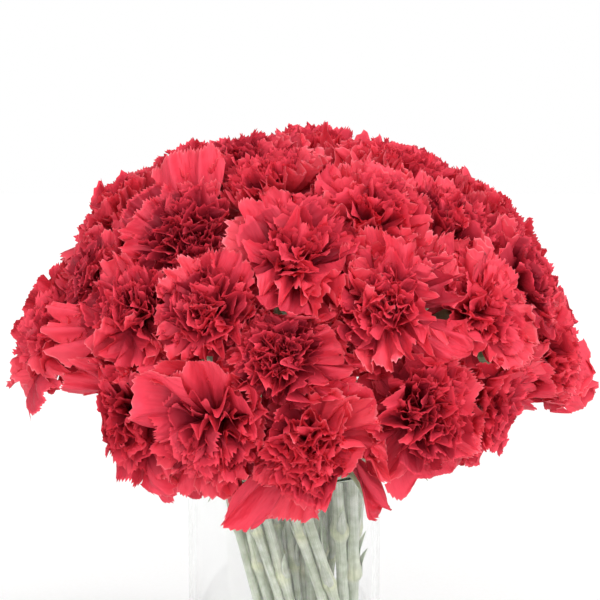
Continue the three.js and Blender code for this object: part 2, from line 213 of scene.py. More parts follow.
def stemMaterial():
    f = stemFinish
    material, tree = newMaterial("waxy carnation stem")
    place = addNode(tree, "ShaderNodeUVMap", {"uv_map": "stem"})
    ridges = addNode(tree, "ShaderNodeMapping", {"Scale": (1 / f["ridgeSpacing"], 1 / f["ridgeLength"], 1)},
                     {"Vector": place.outputs["UV"]})
    streaks = addNode(tree, "ShaderNodeTexNoise", {"Scale": 1.0, "Detail": 4.0},
                      {"Vector": ridges.outputs["Vector"]})
    spot = addNode(tree, "ShaderNodeTexCoord")
    patches = addNode(tree, "ShaderNodeTexNoise", {"Scale": 1 / (f["waxPatch"] * mm), "Detail": 3.0},
                      {"Vector": spot.outputs["Object"]})
    both = addNode(tree, "ShaderNodeMath", {"operation": "MULTIPLY"},
                   {0: streaks.outputs["Fac"], 1: patches.outputs["Fac"]})
    wax = ramp(tree, both.outputs["Value"], [(0.12, f["worn"]), (0.36, "#ffffff")])
    tone = addNode(tree, "ShaderNodeAttribute", {"attribute_name": "tone"})
    skin = ramp(tree, tone.outputs["Fac"], [(0.0, f["calyx"]), (0.3, f["stem"]), (0.5, f["stem"]), (1.0, f["joint"])])
    coloured = addNode(tree, "ShaderNodeMix", {"data_type": "RGBA", "blend_type": "MULTIPLY", 0: 1.0},
                       {6: skin, 7: wax})
    bump = addNode(tree, "ShaderNodeBump", {"Strength": 0.4, "Distance": f["ridgeDepth"] * mm},
                   {"Height": streaks.outputs["Fac"]})
    surface = addNode(tree, "ShaderNodeBsdfPrincipled",
                      {"Roughness": f["roughness"], "IOR": f["ior"], "Sheen Weight": 0.2,
                       "Subsurface Weight": 0.15, "Subsurface Scale": 0.002,
                       "Subsurface Radius": (0.6, 1.0, 0.4)},
                      {"Base Color": coloured.outputs[2], "Normal": bump.outputs["Normal"]})
    addNode(tree, "ShaderNodeOutputMaterial", {}, {"Surface": surface.outputs["BSDF"]})
    return material


# Soda-lime glass, blown and fire-polished: clear face on, grey-green where the eye looks along the wall.
glassFinish = {
    "tint": "#ffffff", "depthTint": "#b9bfbc", "depth": 13.0, "ior": 1.5, "rippleSize": 55.556, "rippleDepth": 0.4,
}


def glassMaterial():
    f = glassFinish
    material, tree = newMaterial("clear blown glass")
    place = addNode(tree, "ShaderNodeTexCoord")
    ripple = addNode(tree, "ShaderNodeTexNoise", {"Scale": 1 / (f["rippleSize"] * mm), "Detail": 1.0},
                     {"Vector": place.outputs["Object"]})
    bump = addNode(tree, "ShaderNodeBump", {"Strength": 0.04, "Distance": f["rippleDepth"] * mm},
                   {"Height": ripple.outputs["Fac"]})
    surface = addNode(tree, "ShaderNodeBsdfPrincipled",
                      {"Base Color": linear(f["tint"]), "Roughness": 0.0, "IOR": f["ior"],
                       "Transmission Weight": 1.0},
                      {"Normal": bump.outputs["Normal"]})
    inside = addNode(tree, "ShaderNodeVolumeAbsorption",
                     {"Color": linear(f["depthTint"]), "Density": f["depth"]})
    addNode(tree, "ShaderNodeOutputMaterial", {},
            {"Surface": surface.outputs["BSDF"], "Volume": inside.outputs["Volume"]})
    return material


# Tap water: clear, so that the eye sees it by the bent stems and by a faint ripple on its top.
waterFinish = {"tint": "#ffffff", "ior": 1.333, "rippleSize": 25, "rippleDepth": 0.3}


def waterMaterial():
    f = waterFinish
    material, tree = newMaterial("still tap water")
    place = addNode(tree, "ShaderNodeTexCoord")
    ripple = addNode(tree, "ShaderNodeTexNoise", {"Scale": 1 / (f["rippleSize"] * mm), "Detail": 1.0},
                     {"Vector": place.outputs["Object"]})
    bump = addNode(tree, "ShaderNodeBump", {"Strength": 0.1, "Distance": f["rippleDepth"] * mm},
                   {"Height": ripple.outputs["Fac"]})
    surface = addNode(tree, "ShaderNodeBsdfPrincipled",
                      {"Base Color": linear(f["tint"]), "Roughness": 0.0, "IOR": f["ior"],
                       "Transmission Weight": 1.0},
                      {"Normal": bump.outputs["Normal"]})
    addNode(tree, "ShaderNodeOutputMaterial", {}, {"Surface": surface.outputs["BSDF"]})
    return material


# Painted board, rolled matt: it takes soft shadows and mirrors nothing, so that it runs into the wall.
floorFinish = {"pale": "#fbfbfb", "grain": "#f9f9f8", "grainSize": 3.333, "roughness": 0.8}


def floorMaterial():
    f = floorFinish
    material, tree = newMaterial("matt white board")
    place = addNode(tree, "ShaderNodeTexCoord")
    grain = addNode(tree, "ShaderNodeTexNoise", {"Scale": 1 / (f["grainSize"] * mm), "Detail": 2.0},
                    {"Vector": place.outputs["Object"]})
    shade = ramp(tree, grain.outputs["Fac"], [(0.3, f["grain"]), (0.7, f["pale"])])
    surface = addNode(tree, "ShaderNodeBsdfPrincipled", {"Roughness": f["roughness"], "Specular IOR Level": 0.1},
                      {"Base Color": shade})
    addNode(tree, "ShaderNodeOutputMaterial", {}, {"Surface": surface.outputs["BSDF"]})
    return material


print("materials")
petalRed = petalMaterial()
stemGreen = stemMaterial()
clearGlass = glassMaterial()
clearWater = waterMaterial()


def newPiece(name, points, faces, material, nodes, tone=None, uv=None, uvName="petal"):
    mesh = bpy.data.meshes.new(name)
    mesh.from_pydata((np.asarray(points) * mm).tolist(), [], faces)
    mesh.shade_smooth()
    if tone is not None:
        layer = mesh.attributes.new("tone", "FLOAT", "POINT")
        layer.data.foreach_set("value", np.asarray(tone, dtype=np.float32))
    if uv is not None:
        layer = mesh.uv_layers.new(name=uvName)
        corners = np.empty(len(mesh.loops), dtype=np.int32)
        mesh.loops.foreach_get("vertex_index", corners)
        layer.data.foreach_set("uv", np.asarray(uv, dtype=np.float32)[corners].ravel())
    mesh.materials.append(material)
    piece = bpy.data.objects.new(name, mesh)
    scene.collection.objects.link(piece)
    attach(piece, "root")
    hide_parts(*nodes)
    return piece


def placeFlower(number, azimuth, height, diameter, fullness):
    h = math.radians(height)
    out = around(azimuth)
    wide = dome["halfWidth"]
    tall = dome["halfHeight"]
    mouth = np.array(dome["centre"], dtype=float) + out * wide * math.cos(h) + up * tall * math.sin(h)
    axis = unit(out * math.cos(h) / wide + up * math.sin(h) / tall)
    across = around(azimuth + 90)
    return {
        "number": number, "azimuth": azimuth, "height": height, "diameter": diameter,
        "fullness": fullness, "mouth": mouth, "axis": axis, "across": across,
        "along": np.cross(axis, across), "heart": mouth + axis * dome["heartAt"] * diameter, "walls": [],
    }


carnations = [placeFlower(i, *row) for i, row in enumerate(flowers)]

# Petals of neighbours press together and turn up, and some slip over the neighbour's edge, in mm.
crowd = {
    "near": 0.85, "soft": 0.78, "turnUp": 0.4, "giveWay": 9,
    "slip": 2.5, "slipSpread": 5.5, "slipMost": 11, "slipGuard": (2, 2.5), "ride": 0.6, "rideFrom": 0.6,
}

for one in carnations:
    for other in carnations:
        apart = other["heart"] - one["heart"]
        distance = np.linalg.norm(apart)
        both = one["diameter"] + other["diameter"]
        if one is other or distance > crowd["near"] * both:
            continue
        first, second = sorted((one["number"], other["number"]))
        gives = crowd["giveWay"] * (draw(first, second, 7) - 0.5)  # one of the two takes more of the room
        share = distance * one["diameter"] / both + (gives if one["number"] == first else -gives)
        one["walls"].append((apart / distance, share))


def settle(flower, points, slip):
    away = points - flower["heart"]
    soft = crowd["soft"]
    for normal, share in flower["walls"]:
        reach = share + slip
        part = away @ normal / reach
        onTop = np.clip((part - crowd["rideFrom"]) / (1 - crowd["rideFrom"]), 0, 1)[:, None]
        away = away + max(slip, 0) * crowd["ride"] * onTop * flower["axis"]
        eased = soft + (1 - soft) * np.tanh((part - soft) / (1 - soft))
        pushed = np.where(part > soft, (part - eased) * reach, 0)[:, None]
        away = away - pushed * normal + crowd["turnUp"] * pushed * flower["axis"]
    for normal, share in flower["walls"]:
        part = away @ normal / (share + slip)
        away = away / np.maximum(part, 1)[:, None]
    return away + flower["heart"]


def withinOutline(flower, points, r):
    centre = np.array(dome["centre"], dtype=float)
    reach = np.array([outline["wide"], outline["wide"], outline["tall"]])
    reach = reach * (1 + outline["uneven"] * np.clip(r.normal(), -2, 2)) * outline["sunk"].get(flower["number"], 1)
    turned = np.degrees(np.arctan2(points[:, 0] - centre[0], centre[1] - points[:, 1]))
    waist = np.interp(turned, *zip(*outline["waist"]))
    waist = 1 + (waist - 1) * np.interp(points[:, 2], outline["waistAt"], (1, 0))
    reach = reach * (waist * np.interp(points[:, 2], *zip(*outline["shoulder"])))[:, None]
    away = (points - centre) / reach
    size = np.linalg.norm(away, axis=1)
    soft = outline["soft"]
    eased = 1 - soft + soft * np.tanh((size - 1 + soft) / soft)
    away = away * np.where(size > 1 - soft, eased / size, 1)[:, None] * reach
    azimuth = np.degrees(np.arctan2(away[:, 0], -away[:, 1]))
    start = np.interp(azimuth, *zip(*outline["skirt"])) + outline["lift"] + outline["liftUneven"] * r.normal()
    low = np.maximum(start - centre[2] - away[:, 2], 0)
    away[:, 2] += low - outline["lift"] * np.tanh(low / outline["lift"])
    return away + centre


# Rings of petals from the guard petals in, for a bloom of 66 mm. A pair gives the value for the
# sparsest and for the fullest heart: number of petals, lean from the axis in degrees, and how far the
# blade turns upright again. Length, half width, depth of the ruffles and cupping are in mm.
bloomSize = 66
bloomNod = 25  # how far a bloom may lean from the dome's normal, in degrees
petalRings = [
    {"count": (7, 7), "lean": (90, 92), "upright": (0, 0), "length": 42.5, "half": 18.0, "ruffle": 5.6,
     "folds": 1.4, "narrow": 0.0, "cup": -1.0, "bend": 13, "curl": (4, 4)},
    {"count": (7, 7), "lean": (76, 80), "upright": (0.08, 0.15), "length": 42.5, "half": 17.5, "ruffle": 5.8,
     "folds": 1.5, "narrow": 0.04, "cup": 1.0, "bend": 16, "curl": (8, 4)},
    {"count": (7, 9), "lean": (60, 62), "upright": (0.25, 0.6), "length": 41, "half": 17.0, "ruffle": 5.4,
     "folds": 1.5, "narrow": 0.08, "cup": 2.5, "bend": 20, "curl": (14, 4)},
    {"count": (6, 10), "lean": (45, 48), "upright": (0.35, 0.7), "length": 39, "half": 16.0, "ruffle": 5.2,
     "folds": 1.6, "narrow": 0.12, "cup": 2.5, "bend": 24, "curl": (16, 4)},
    {"count": (5, 9), "lean": (29, 32), "upright": (0.35, 0.8), "length": 37, "half": 15.5, "ruffle": 5.0,
     "folds": 1.7, "narrow": 0.16, "cup": 2.0, "bend": 28, "curl": (18, 4)},
    {"count": (3, 6), "lean": (12, 14), "upright": (0.2, 0.8), "length": 36, "half": 14.5, "ruffle": 4.8,
     "folds": 1.8, "narrow": 0.2, "cup": 1.5, "bend": 30, "curl": (14, 4)},
]
sheaves = {"lean": 17, "spread": 1.2}  # inner petals stand in a few sheaves that lean apart, degrees and mm
petalCut = {"clawHalf": 1.6, "clawEnd": 0.22, "flare": 0.85, "toothPitch": 1.75, "toothDepth": 2.0, "lobe": 1.3,
            "roundOff": (0.3, 0.15), "rootRadius": 1.6, "clawStraight": 2.5, "sunk": 1.5, "steps": 60}
petalUneven = {"turn": 0.35, "lean": 8, "length": 0.05, "curl": 18, "half": 0.08, "folds": 0.15, "ruffle": 0.2,
               "twist": (12, 20), "swing": 2.4, "cup": 0.4, "tone": 0.15}
# Finer waves on the ruffles, as shares of them. Inner petals crumple the more, the fuller the heart is.
petalWaves = {"second": 0.38, "crumpleOuter": 0.24, "crumpleInner": (0.08, 0.22)}
# Painted shade darkens a petal at its root and the inner petals of full hearts, and a painted highlight makes its
# margin pale. Fuller blooms are darker, and blooms differ.
petalTone = {"root": 0.04, "rise": 0.6, "most": 0.85, "marginHighlight": 0.3, "heart": (0.08, 0.23),
             "bloom": (0.1, -0.06), "bloomUneven": 0.2,
             # painted light: blooms low in the bunch that get less light are lightened, high ones that face the light
             # are darkened
             "paintedLight": {3: 0.1, 4: 0.07, 17: 0.12, 27: -0.07, 28: -0.2, 14: -0.06, 36: -0.08}}

# Low blooms at the front let their guard petals hang, and those at the two sides hold them out.
hanging = {"below": 8, "lean": 14, "stretch": 0.34, "second": 0.4}
sideways = {"from": 58, "to": 84, "lean": -22, "stretch": 0.2}
# On the dome outer petals stand closer and have more folds. Each bloom takes part of this at least.
pressed = {"above": 2, "over": 14, "least": 0.5, "lean": -12, "narrower": 0.15, "folds": 1.2, "flatter": 0.2,
           "more": 2, "roundOff": 0.12}
# Guard petals may grow this much into gaps, low and high on the dome. On higher blooms those that point
# down are longer and lie over the bloom below.
grow = {"low": 1.35, "high": (1.38, 1.1), "from": 16, "overlap": 1.15}
droop = {"above": 8, "longer": 1.15, "slip": 5}

# Where the rows of a petal's mesh lie from claw to margin, and how finely each is divided.
rowAt = [0.0, 0.18, 0.35, 0.5, 0.62, 0.74, 0.85, 0.95, 1.0]
rowShare = [4, 4, 4, 2, 2, 2, 2, 1, 1]
sheets = {}


def sheetFaces(columns):  # faces of a petal whose margin has this many divisions
    if columns in sheets:
        return sheets[columns]
    faces = []
    start = 0
    for k in range(len(rowAt) - 1):
        here = columns // rowShare[k]
        there = columns // rowShare[k + 1]
        after = start + here + 1
        for c in range(here):
            a, b = start + c, start + c + 1
            if there == here:
                faces.append((a, b, after + c + 1, after + c))
            else:
                left, middle, right = after + 2 * c, after + 2 * c + 1, after + 2 * c + 2
                faces += [(a, middle, left), (a, b, middle), (b, right, middle)]
        start = after
    sheets[columns] = faces
    return faces


def midline(lean, upright, bend, length, rootRadius, curl):  # way along, radius, height and lean at each step
    s = np.linspace(0, 1, petalCut["steps"] + 1)
    turn = np.clip((s * length - petalCut["clawStraight"]) / bend, 0, 1)
    back = np.clip((s - 0.45) / 0.5, 0, 1)
    theta = np.radians(lean) * turn * turn * (3 - 2 * turn) * (1 - upright * back * back * (3 - 2 * back))
    theta = theta + np.radians(curl) * np.clip(s - 0.6, 0, 1) ** 2 / 0.16
    step = length / petalCut["steps"]
    radius = rootRadius + np.concatenate([[0], np.cumsum(np.sin(theta[:-1]) * step)])
    height = -petalCut["sunk"] + np.concatenate([[0], np.cumsum(np.cos(theta[:-1]) * step)])
    return s * length, radius, height, theta


def wallShare(flower, point):  # over 1 where a point is past a neighbour's side
    away = point - flower["heart"]
    return max([float(away @ normal) / reach for normal, reach in flower["walls"]] + [0.0])


def petalRoot(flower, order, which, count, r):  # where a petal springs from, the axes there, and its angle
    number = flower["number"]
    axis = flower["tilted"]
    across = unit(flower["across"] - axis * (flower["across"] @ axis))
    along = np.cross(axis, across)
    mouth = flower["mouth"]
    turn = 2 * math.pi * (which + 0.37 * order + petalUneven["turn"] * (r.random() - 0.5)) / count + 0.7 * number
    if order > 1 and flower["sheaves"] > 1:
        sheaf = which % flower["sheaves"]
        towards = 2 * math.pi * (sheaf + 0.3 * draw(number, sheaf)) / flower["sheaves"] + 1.3 * number
        lie = across * math.cos(towards) + along * math.sin(towards)
        axis = unit(axis + math.tan(math.radians(sheaves["lean"])) * lie)
        across = unit(across - axis * (across @ axis))
        along = np.cross(axis, across)
        mouth = mouth + sheaves["spread"] * lie
    return mouth, axis, across, along, turn


def petalPose(flower, ring, order, root, r):  # which way a petal points, its midline and how far it grows
    mouth, axis, across, along, turn = root
    scale = flower["diameter"] / bloomSize
    full = flower["fullness"]

    def spokeAt(angle):
        return across * math.cos(angle) + along * math.sin(angle)

    lean = between(ring["lean"], full) + r.normal(0, petalUneven["lean"])
    lean += pressed["lean"] * (flower["pressed"] if order < 2 else 0) * order
    length = ring["length"] * scale * (1 + r.normal(0, petalUneven["length"]))
    if order == 0:  # guard petals turn to the corners between the neighbours
        turns = turn + np.radians([0, -8, 8, -16, 16])
        turn = min(turns, key=lambda angle: wallShare(flower, mouth + length * spokeAt(angle)))
    spoke = spokeAt(turn)
    if order < 2 and flower["height"] < hanging["below"]:
        low = max(0.0, -spoke[2]) * (1.0 if order == 0 else hanging["second"])
        front = math.cos(math.radians(min(max(abs(flower["azimuth"]) - 40, 0) * 2.4, 180)))
        if sideways["from"] < abs(flower["azimuth"]) < sideways["to"]:
            lean += sideways["lean"] * low
            length *= 1 + sideways["stretch"] * low
        else:
            lean += hanging["lean"] * low * max(front, 0)
            length *= 1 + hanging["stretch"] * low * front
    upright = between(ring["upright"], full)
    curl = between(ring["curl"], full) + r.normal(0, petalUneven["curl"])
    rootRadius = petalCut["rootRadius"] * (1.2 if order < 3 else 0.8)
    bend = ring["bend"] * scale
    _, radius, height, _ = midline(lean, upright, bend, length, rootRadius, curl)
    share = wallShare(flower, mouth + spoke * radius[-1] + axis * height[-1])
    fit = 1.0
    if order < 2 and share > 0.4:  # outer petals grow into the room between the neighbours
        most = grow["low"] if flower["height"] < grow["from"] and spoke[2] > -0.4 else grow["high"][order]
        fit = min(max(grow["overlap"] / share, 0.9), most)
    elif share > grow["overlap"]:
        fit = max(grow["overlap"] / share, 0.85)
    if order == 0 and flower["height"] > droop["above"] and spoke[2] < -0.3:
        fit *= droop["longer"]
        flower["slipMore"] = droop["slip"]
    aside = -across * math.sin(turn) + along * math.cos(turn)
    return spoke, aside, midline(lean, upright, bend, length * fit, rootRadius, curl), fit


def petalSheet(flower, ring, order, which, count, r):
    scale = flower["diameter"] / bloomSize
    full = flower["fullness"]
    close = flower["pressed"] if order < 2 else 0
    root = petalRoot(flower, order, which, count, r)
    mouth, axis = root[:2]
    spoke, aside, middle, fit = petalPose(flower, ring, order, root, r)
    s, radius, height, theta = middle
    length = s[-1]
    uneven = petalUneven
    half = ring["half"] * scale * (1 + r.normal(0, uneven["half"])) * fit ** 0.7 * (1 - pressed["narrower"] * close)
    columns = 4 * max(3, round(half * 2 / petalCut["toothPitch"] * 2 / 4))
    phases = r.random(8) * 2 * math.pi
    folds = ring["folds"] * (1 + r.normal(0, uneven["folds"])) * max(fit, 1) + pressed["folds"] * close
    ruffle = ring["ruffle"] * scale * (1 + r.normal(0, uneven["ruffle"])) * (1 - pressed["flatter"] * close)
    ruffle *= max(fit, 1)
    twist = math.radians(r.normal(0, uneven["twist"][order > 1]))
    swing = r.normal(0, uneven["swing"])
    crumple = between(petalWaves["crumpleInner"], full) if order > 1 else petalWaves["crumpleOuter"]
    cup = ring["cup"] * (1 + r.normal(0, uneven["cup"]))
    roundOff = petalCut["roundOff"][order > 1] * (1 - close) + pressed["roundOff"] * close
    tonePetal = r.normal(0, uneven["tone"])
    # painted shade on the inner petals of full hearts
    heartShade = between(petalTone["heart"], full) if order > 1 else 0
    points, tones, uvs = [], [], []
    for at, divide in zip(rowAt, rowShare):
        u = np.linspace(-1, 1, columns // divide + 1)
        opened = max(0.0, (at - petalCut["clawEnd"]) / (1 - petalCut["clawEnd"])) ** petalCut["flare"]
        wide = petalCut["clawHalf"] + (half - petalCut["clawHalf"]) * opened
        far = length * at * (1 - roundOff * (0.5 * u ** 2 + 0.5 * u ** 6) * at)
        lobes = np.sin(2.1 * math.pi * u + phases[0]) + 0.6 * np.sin(3.7 * math.pi * u + phases[1])
        far = far + petalCut["lobe"] * scale * lobes * at ** 6
        if at == 1.0:
            teeth = np.where(np.arange(len(u)) % 2, 0.5, -0.5) * petalCut["toothDepth"]
            far = far + teeth * (0.55 + 0.9 * r.random(len(u)))
            far = far + 0.5 * petalCut["lobe"] * np.sin(half * u + phases[5])
            u = u + np.where(np.abs(u) < 1, r.uniform(-0.5, 0.5, len(u)) / columns, 0)
        x = wide * u * (1 - ring["narrow"] * at)
        wave = np.sin(math.pi * folds * u + phases[2] + 2.2 * at)
        wave = wave + petalWaves["second"] * np.sin(math.pi * folds * 2.1 * u + phases[3] - 3.0 * at)
        wave = wave + crumple * np.sin(math.pi * folds * 3.4 * u + phases[4]) * at ** 3
        rise = ruffle * at ** (1.35 if order < 2 else 1.6) * wave + cup * u ** 2 * opened
        if at == 1.0:
            rise = rise + 0.25 * r.normal(0, 1, len(u))
        turned = twist * at
        x, rise = x * math.cos(turned) - rise * math.sin(turned), x * math.sin(turned) + rise * math.cos(turned)
        x = x + swing * at ** 2
        leanHere = np.interp(far, s, theta)
        past = np.maximum(far - length, 0)  # past the midline's end the petal goes straight on
        out = np.interp(far, s, radius) + past * np.sin(leanHere) - rise * np.cos(leanHere)
        high = np.interp(far, s, height) + past * np.cos(leanHere) + rise * np.sin(leanHere)
        points.append(mouth + out[:, None] * spoke + x[:, None] * aside + high[:, None] * axis)
        # painted shade: dark at the root and deeper in full hearts, rising to the petal's red towards the margin
        shade = petalTone["root"] + petalTone["rise"] * at ** 1.3 - heartShade + tonePetal * at
        shade = min(max(shade, 0), petalTone["most"])
        if at == 1.0:
            # painted highlight: the margin row takes the pale rim colour, or is lifted towards it on inner petals
            shade = 1.0 if order < 2 else shade + petalTone["marginHighlight"]
        tones.append(np.full(len(u), shade))
        uvs.append(np.stack([x + 40 * which, far + 60 * order], axis=1))
    return np.concatenate(points), sheetFaces(columns), np.concatenate(tones), np.concatenate(uvs)


def makeBloom(flower):
    number = flower["number"]
    points, faces, tones, uvs = [], [], [], []
    start = 0
    toneBloom = between(petalTone["bloom"], flower["fullness"]) + petalTone["bloomUneven"] * (draw(number, 5) - 0.5)
    # painted light: some blooms lightened or darkened for how the light falls on them
    toneBloom += petalTone["paintedLight"].get(number, 0)
    flower["pressed"] = min(max((flower["height"] - pressed["above"]) / pressed["over"], 0), 1)
    flower["pressed"] *= between((pressed["least"], 1), draw(number, 14))
    flower["sheaves"] = 1 if flower["fullness"] > 0.85 else 2 + int(3 * draw(number, 9))
    way = 2 * math.pi * draw(number, 6)
    nod = math.tan(math.radians(bloomNod * draw(number, 8)))
    aslant = flower["across"] * math.cos(way) + flower["along"] * math.sin(way)
    flower["tilted"] = unit(flower["axis"] + nod * aslant)
    for order, ring in enumerate(petalRings):
        count = round(between(ring["count"], flower["fullness"]))
        count += round(pressed["more"] * flower["pressed"]) if order < 2 else 0
        for which in range(count):
            r = rng(number, order, which)
            flower["slipMore"] = 0
            p, f, t, uv = petalSheet(flower, ring, order, which, count, r)
            slip = flower["slipMore"] + (r.normal(crowd["slip"], crowd["slipSpread"]) if order < 3 else crowd["slip"])
            if order == 0:
                slip = max(slip, crowd["slipGuard"][0]) + crowd["slipGuard"][1]
            points.append(withinOutline(flower, settle(flower, p, min(slip, crowd["slipMost"])), r))
            faces += [tuple(start + i for i in face) for face in f]
            tones.append(np.where(t < 1, np.clip(t + toneBloom, 0, 0.9), 1))
            uvs.append(uv)
            start += len(p)
    return newPiece("petals_%02d" % (number + 1), np.concatenate(points), faces, petalRed,
                    ["bloom_%02d" % (number + 1)], np.concatenate(tones), np.concatenate(uvs))


print("blooms")
for flower in carnations:
    makeBloom(flower)


calyx = {
    "length": 28, "mouth": 6.2, "belly": 7.0, "neck": 3.2, "tooth": 5.0, "flare": 1.4, "ridge": 0.025, "sides": 30,
}
# Stems swell at two joints: one at this height above the table, and one that much further down.
stem = {
    "radius": 2.7, "thick": (0.7, 1.2), "sway": (13, 4), "floorGap": 0.3, "sides": 12, "rows": (44, 22),
    "joint": 4.5, "jointLow": 134, "jointStep": 14, "jointUneven": 0.6, "jointDown": (76, 86),
}
bundle = {
    "rings": [(1, 3), (5, 3), (8, 3)],
    "floor": {"x": 19.5, "spread": 12, "strand": 3.1, "turns": (0, -65, 80)},
    "rim": {"x": 6, "spread": 18.8, "strand": 4.8, "turns": (0, 0, 0), "z": 197},
}
leaf = {
    "flowers": [1, 2, 4, 6, 9, 11, 13], "length": 42, "width": 6.5, "rise": 9, "drop": 5, "keel": 1.0, "tone": 0.2,
}
# Cut leaves in pairs that clasp the upper joint.
stub = {"length": (14, 27), "width": 5.6, "open": 4.5, "keel": 1.6, "fromWall": 1.5, "tone": 0.4}


def turnedBy(v, degrees):
    a = math.radians(degrees)
    return np.array([v[0] * math.cos(a) - v[1] * math.sin(a), v[0] * math.sin(a) + v[1] * math.cos(a), v[2]])


def bundlePlaces():
    places = []
    for r, (clusters, strands) in enumerate(bundle["rings"]):
        for c in range(clusters):
            for s in range(strands):
                middle = around(360 * (c + 0.5 * r) / clusters) * r
                strand = around(360 * s / 3 + 90 * draw(r, c))
                places.append({"cluster": (r, c), "ring": r, "number": s, "middle": middle, "strand": strand})
    return places


def placeAt(place, level):
    middle = turnedBy(place["middle"], level["turns"][place["ring"]]) * level["spread"]
    strand = turnedBy(place["strand"], level["turns"][place["ring"]]) * level["strand"]
    return middle + strand + np.array([level["x"], 0.0, 0.0])


def sharePlaces():  # low flowers take the outer places, with swaps while that shortens the stems' way
    places = bundlePlaces()
    spots = np.array([placeAt(p, bundle["rim"]) for p in places])
    inward = [40 * max(0.0, 1 - (f["height"] + 10) / 95) ** 0.8 for f in carnations]
    wanted = np.array([around(f["azimuth"]) * w + [bundle["rim"]["x"], 0, 0] for f, w in zip(carnations, inward)])
    cost = ((wanted[:, None, :] - spots[None, :, :]) ** 2).sum(2)
    given = list(range(len(carnations)))
    for _ in range(50):
        better = False
        for i in range(len(given)):
            for j in range(i):
                if cost[i][given[j]] + cost[j][given[i]] < cost[i][given[i]] + cost[j][given[j]] - 1e-6:
                    given[i], given[j] = given[j], given[i]
                    better = True
        if not better:
            break
    for flower, g in zip(carnations, given):
        flower["place"] = places[g]


sharePlaces()


def bezier(a, b, c, d, t):
    t = np.asarray(t)[:, None]
    return a * (1 - t) ** 3 + 3 * b * t * (1 - t) ** 2 + 3 * c * t ** 2 * (1 - t) + d * t ** 3


def jointSwell(height):  # share of a joint's swelling at heights above it: a ring and a slimmer shoulder
    return np.exp(-(height / 3.2) ** 2) + 0.35 * np.exp(-((height - 6) / 7) ** 2)


def stemRoute(flower):  # points from the cut end to the calyx's mouth, with a radius and a joint's share
    foot = placeAt(flower["place"], bundle["floor"])
    foot[2] = vase["base"] + stem["floorGap"]
    rim = placeAt(flower["place"], bundle["rim"])
    rim[2] = bundle["rim"]["z"]
    straight = unit(rim - foot)
    foot[2] += stem["radius"] * math.hypot(straight[0], straight[1])
    neck = flower["mouth"] - flower["axis"] * calyx["length"]
    span = 0.4 * np.linalg.norm(neck - rim)
    t = np.linspace(0, 1, stem["rows"][0])[:, None]
    low = foot + (rim - foot) * t
    cluster, n = flower["place"]["cluster"], flower["number"]
    sway = stem["sway"][0] * (draw(*cluster, 15) - 0.5) + stem["sway"][1] * (draw(n, 16) - 0.5)
    out = rim - [bundle["rim"]["x"], 0, rim[2]]
    low = low + np.sin(math.pi * t) ** 2 * sway * np.cross(up, out / max(np.linalg.norm(out), 1))  # bends a little
    rise = np.linspace(0, 1, stem["rows"][1])
    high = bezier(rim, rim + straight * span, neck - flower["axis"] * span, neck, rise)[1:]
    route = np.concatenate([low, high])
    first = stem["jointLow"] + stem["jointStep"] * (flower["place"]["number"] + stem["jointUneven"] * draw(n, 3))
    joints = [first, first - between(stem["jointDown"], draw(n, 4))]
    share = np.clip(sum(jointSwell(route[:, 2] - z) for z in joints), 0, 1)
    thick = between(stem["thick"], draw(n, 11))
    radius = (stem["radius"] + (stem["joint"] - stem["radius"]) * share * (0.4 + 0.8 * draw(n, 12))) * thick
    end = np.clip((np.arange(len(route)) - (len(route) - 5)) / 4, 0, 1)
    radius = radius + (calyx["neck"] - stem["radius"]) * end ** 2
    return route, radius, share, joints


def tube(route, radius, sides, closeEnds=True):
    tangent = np.gradient(route, axis=0)
    tangent /= np.linalg.norm(tangent, axis=1)[:, None]
    side = unit(np.cross(tangent[0], [0.3, 1, 0.2]))
    points, faces = [], []
    for k in range(len(route)):
        side = unit(side - tangent[k] * (side @ tangent[k]))
        other = np.cross(tangent[k], side)
        a = 2 * math.pi * np.arange(sides) / sides
        points.append(route[k] + radius[k] * (np.cos(a)[:, None] * side + np.sin(a)[:, None] * other))
    for k in range(len(route) - 1):
        for c in range(sides):
            d = (c + 1) % sides
            faces.append((k * sides + c, k * sides + d, (k + 1) * sides + d, (k + 1) * sides + c))
    if closeEnds:
        faces.append(tuple(range(sides - 1, -1, -1)))
        last = (len(route) - 1) * sides
        faces.append(tuple(last + c for c in range(sides)))
    return np.concatenate(points), faces


def calyxShell(flower):  # a tube with five teeth that clasps the petals' claws
    sides = calyx["sides"]
    steps = [(0, 0.4), (0.04, 0.62), (0.12, 0.88), (0.3, 1.0), (0.6, 1.0), (0.82, 0.97), (0.94, 0.98)]
    points = []
    a = 2 * math.pi * np.arange(sides) / sides
    spokes = np.cos(a)[:, None] * flower["across"] + np.sin(a)[:, None] * flower["along"]
    start = flower["mouth"] - flower["axis"] * calyx["length"]
    ridge = 1 + calyx["ridge"] * np.cos(10 * a)
    for at, wide in steps:
        outward = spokes * (calyx["belly"] * wide * ridge)[:, None]
        points.append(start + flower["axis"] * calyx["length"] * at + outward)
    tooth = np.abs(((a * 5 / (2 * math.pi)) % 1) - 0.5) * 2  # 1 between teeth, 0 at each tooth's point
    rise = calyx["tooth"] * (1 - tooth) ** 0.8
    flare = calyx["mouth"] + calyx["flare"] * (1 - tooth)
    points.append(flower["mouth"] + flower["axis"] * (rise - 1.0)[:, None] + spokes * flare[:, None])
    points.append(flower["mouth"] + flower["axis"] * (rise - 1.4)[:, None] + spokes * (flare - 0.7)[:, None])
    points.append(flower["mouth"] - flower["axis"] * 6 + spokes * (calyx["mouth"] - 1.2))
    faces = []
    for k in range(len(points) - 1):
        for c in range(sides):
            d = (c + 1) % sides
            faces.append((k * sides + c, k * sides + d, (k + 1) * sides + d, (k + 1) * sides + c))
    faces.append(tuple(range(sides - 1, -1, -1)))
    faces.append(tuple((len(points) - 1) * sides + c for c in range(sides)))
    return np.concatenate(points), faces


